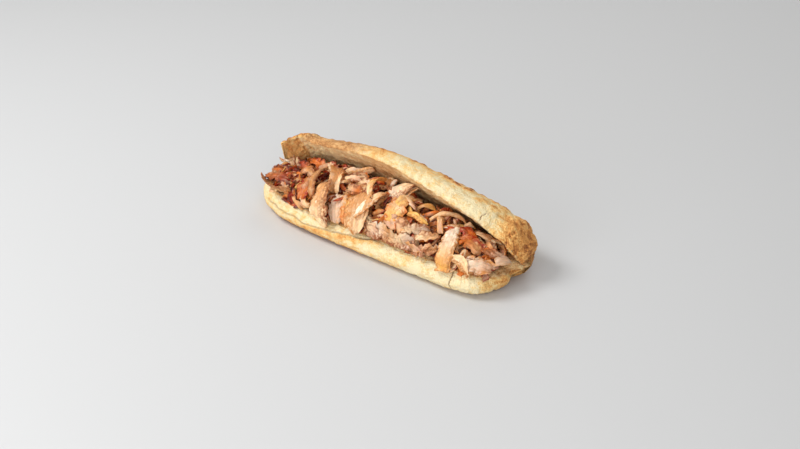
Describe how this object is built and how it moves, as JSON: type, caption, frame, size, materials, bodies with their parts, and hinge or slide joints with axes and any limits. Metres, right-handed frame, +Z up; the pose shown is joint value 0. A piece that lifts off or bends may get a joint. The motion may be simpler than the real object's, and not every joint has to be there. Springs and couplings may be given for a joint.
{
  "type": "chicken gyro sandwich",
  "caption": "Long crusty loaf split lengthways and opened like a book, filled with a heap of carved chicken slices and shreds.",
  "frame": {"origin": "middle of the underside of the whole sandwich's box, on the surface it rests on", "axes": "+X along the loaf, +Y from the open side to the hinged back, +Z up"},
  "size_m": [0.2558, 0.0928, 0.0684],
  "materials": {
    "bread_crust": "pale golden floured crust with browned knobs, and a toasted cut face",
    "roast_chicken": "moist roast chicken slices, pale inside, with browned and paprika-red edges"
  },
  "bodies": {
    "root": {"bread": "bread_crust", "meat": "roast_chicken"}
  },
  "joints": []
}
